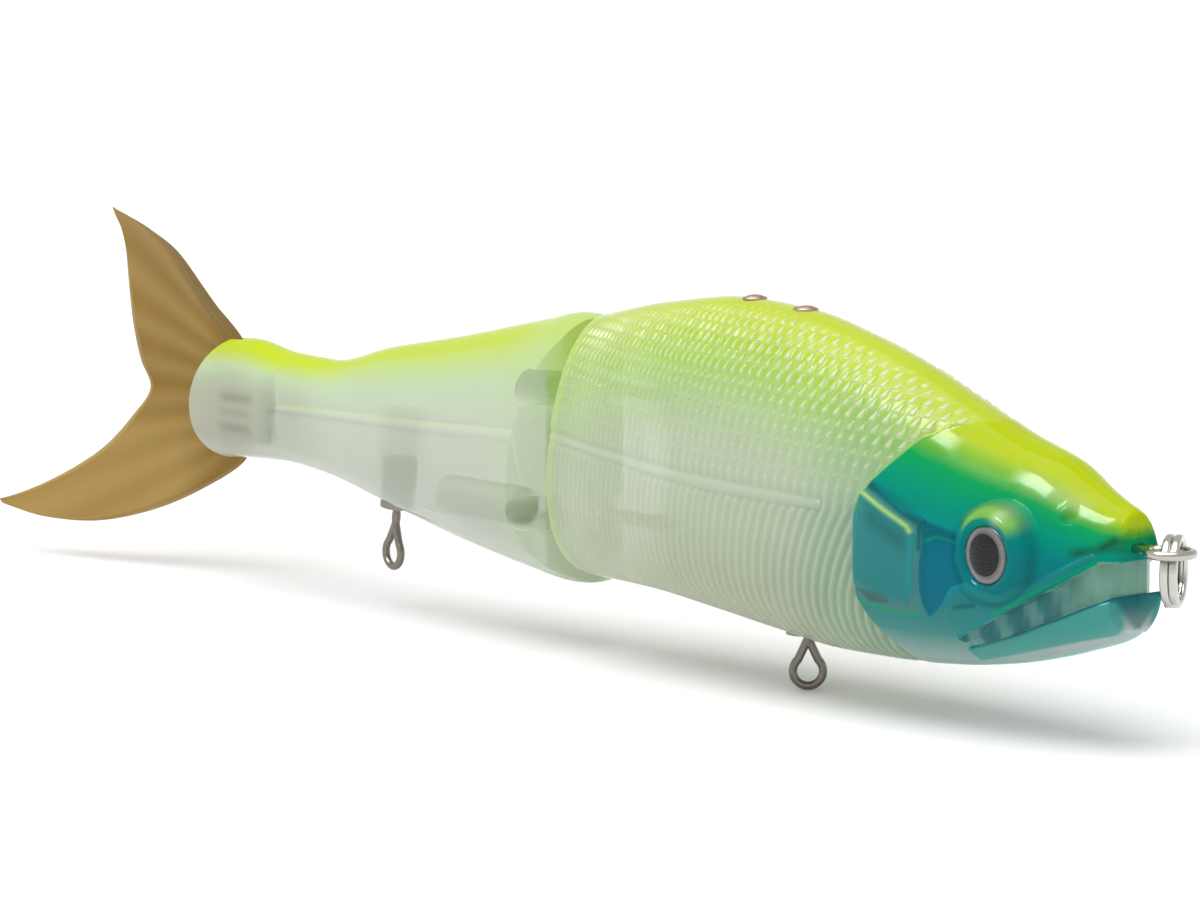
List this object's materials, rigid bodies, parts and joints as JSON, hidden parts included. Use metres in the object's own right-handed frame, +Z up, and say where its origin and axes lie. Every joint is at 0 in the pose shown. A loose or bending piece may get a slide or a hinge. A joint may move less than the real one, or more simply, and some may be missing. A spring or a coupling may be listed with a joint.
{
  "type": "jointed swimbait",
  "caption": "Jointed hard swimbait with a wedge hinge, clear-domed eyes, a wire line tie and split ring, swivelling hook hangers and a soft forked tail fin.",
  "frame": {"origin": "centre of the line tie's front loop, in the lure's centre plane", "axes": "+X forward out of the mouth, +Y to the lure's left side, +Z up towards the back"},
  "size_m": [0.2089, 0.022, 0.0443],
  "materials": {
    "front_paint": "translucent, gloss clear coat over a teal, green and yellow-green fade",
    "rear_paint": "translucent, gloss clear coat over a pale grey-green and yellow-green fade",
    "eye_print": "satin print with a dark pupil and a grey ring",
    "eye_clear": "clear, polished",
    "plated_wire": "bright plated",
    "ring_steel": "polished",
    "bush_metal": "dull",
    "hanger_wire": "dull",
    "pin_steel": "drawn",
    "ballast_metal": "dull",
    "stud_metal": "satin",
    "soft_tail": "soft satin"
  },
  "bodies": {
    "front_body": {"front_shell_left": "front_paint", "front_shell_right": "front_paint", "eye_disc_left": "eye_print", "eye_disc_right": "eye_print", "eye_dome_left": "eye_clear", "eye_dome_right": "eye_clear", "line_tie": "plated_wire", "front_hanger_bush": "bush_metal", "hinge_eye_upper": "plated_wire", "hinge_eye_lower": "plated_wire", "front_ballast": "ballast_metal", "back_stud_front": "stud_metal", "back_stud_rear": "stud_metal"},
    "rear_body": {"rear_shell_left": "rear_paint", "rear_shell_right": "rear_paint", "rear_hanger_bush": "bush_metal", "hinge_pin": "pin_steel", "rear_ballast": "ballast_metal", "tail_fin": "soft_tail"},
    "ring_body": {"split_ring": "ring_steel"},
    "front_hanger_body": {"front_hook_hanger": "hanger_wire"},
    "rear_hanger_body": {"rear_hook_hanger": "hanger_wire"}
  },
  "joints": [
    {"name": "body_hinge", "type": "hinge", "parent": "front_body", "child": "rear_body", "pos_m": [-0.0921, 0, 0], "axis": [0, 0, 1], "range_deg": [-30, 30]},
    {"name": "ring_swing", "type": "hinge", "parent": "front_body", "child": "ring_body", "pos_m": [-0.00138, 0.00197, 0], "axis": [0.8192, 0.5736, 0], "range_deg": [-10, 150]},
    {"name": "front_hanger_swivel", "type": "hinge", "parent": "front_body", "child": "front_hanger_body", "pos_m": [-0.0565, 0, -0.01985], "axis": [0, 0, 1], "continuous": true},
    {"name": "rear_hanger_swivel", "type": "hinge", "parent": "rear_body", "child": "rear_hanger_body", "pos_m": [-0.1315, 0, -0.0093], "axis": [0.1305, 0, 0.9914], "continuous": true}
  ]
}
